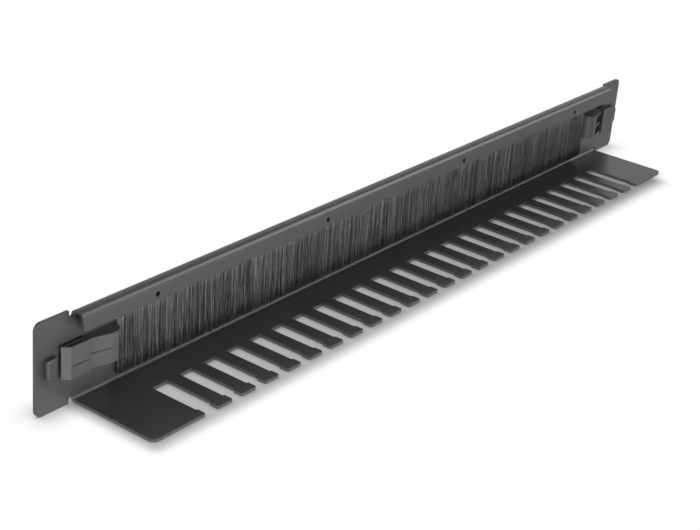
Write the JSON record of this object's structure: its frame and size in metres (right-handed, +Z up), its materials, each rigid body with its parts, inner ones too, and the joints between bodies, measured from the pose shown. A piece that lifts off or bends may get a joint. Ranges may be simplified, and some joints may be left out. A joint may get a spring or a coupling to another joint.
{
  "type": "rack brush strip panel",
  "caption": "Rack panel folded from black sheet steel, with a bristle cable entry, a slotted cable comb behind it and snap clips on its ears.",
  "frame": {"origin": "under the middle of the part's box, in the plane of the comb's underside", "axes": "+X along the width to the right end as seen from the front, +Y from the front face to the rear, +Z up"},
  "size_m": [0.4826, 0.0486, 0.0437],
  "materials": {
    "powder_coated_steel": "black powder coat, fine texture, satin",
    "zinc_plated_steel": "zinc plated, crimped",
    "drawn_wire": "bright drawn",
    "black_nylon": "extruded filament, satin",
    "moulded_nylon": "fine moulded grain, satin",
    "black_oxide_steel": "black oxide"
  },
  "bodies": {
    "root": {"folded_panel": "powder_coated_steel", "brush_holder": "zinc_plated_steel", "brush_core_wire": "drawn_wire", "brush_bristles": "black_nylon", "clip_left": "moulded_nylon", "clip_right": "moulded_nylon", "set_screw_1": "black_oxide_steel", "set_screw_2": "black_oxide_steel", "set_screw_3": "black_oxide_steel", "set_screw_4": "black_oxide_steel"}
  },
  "joints": []
}
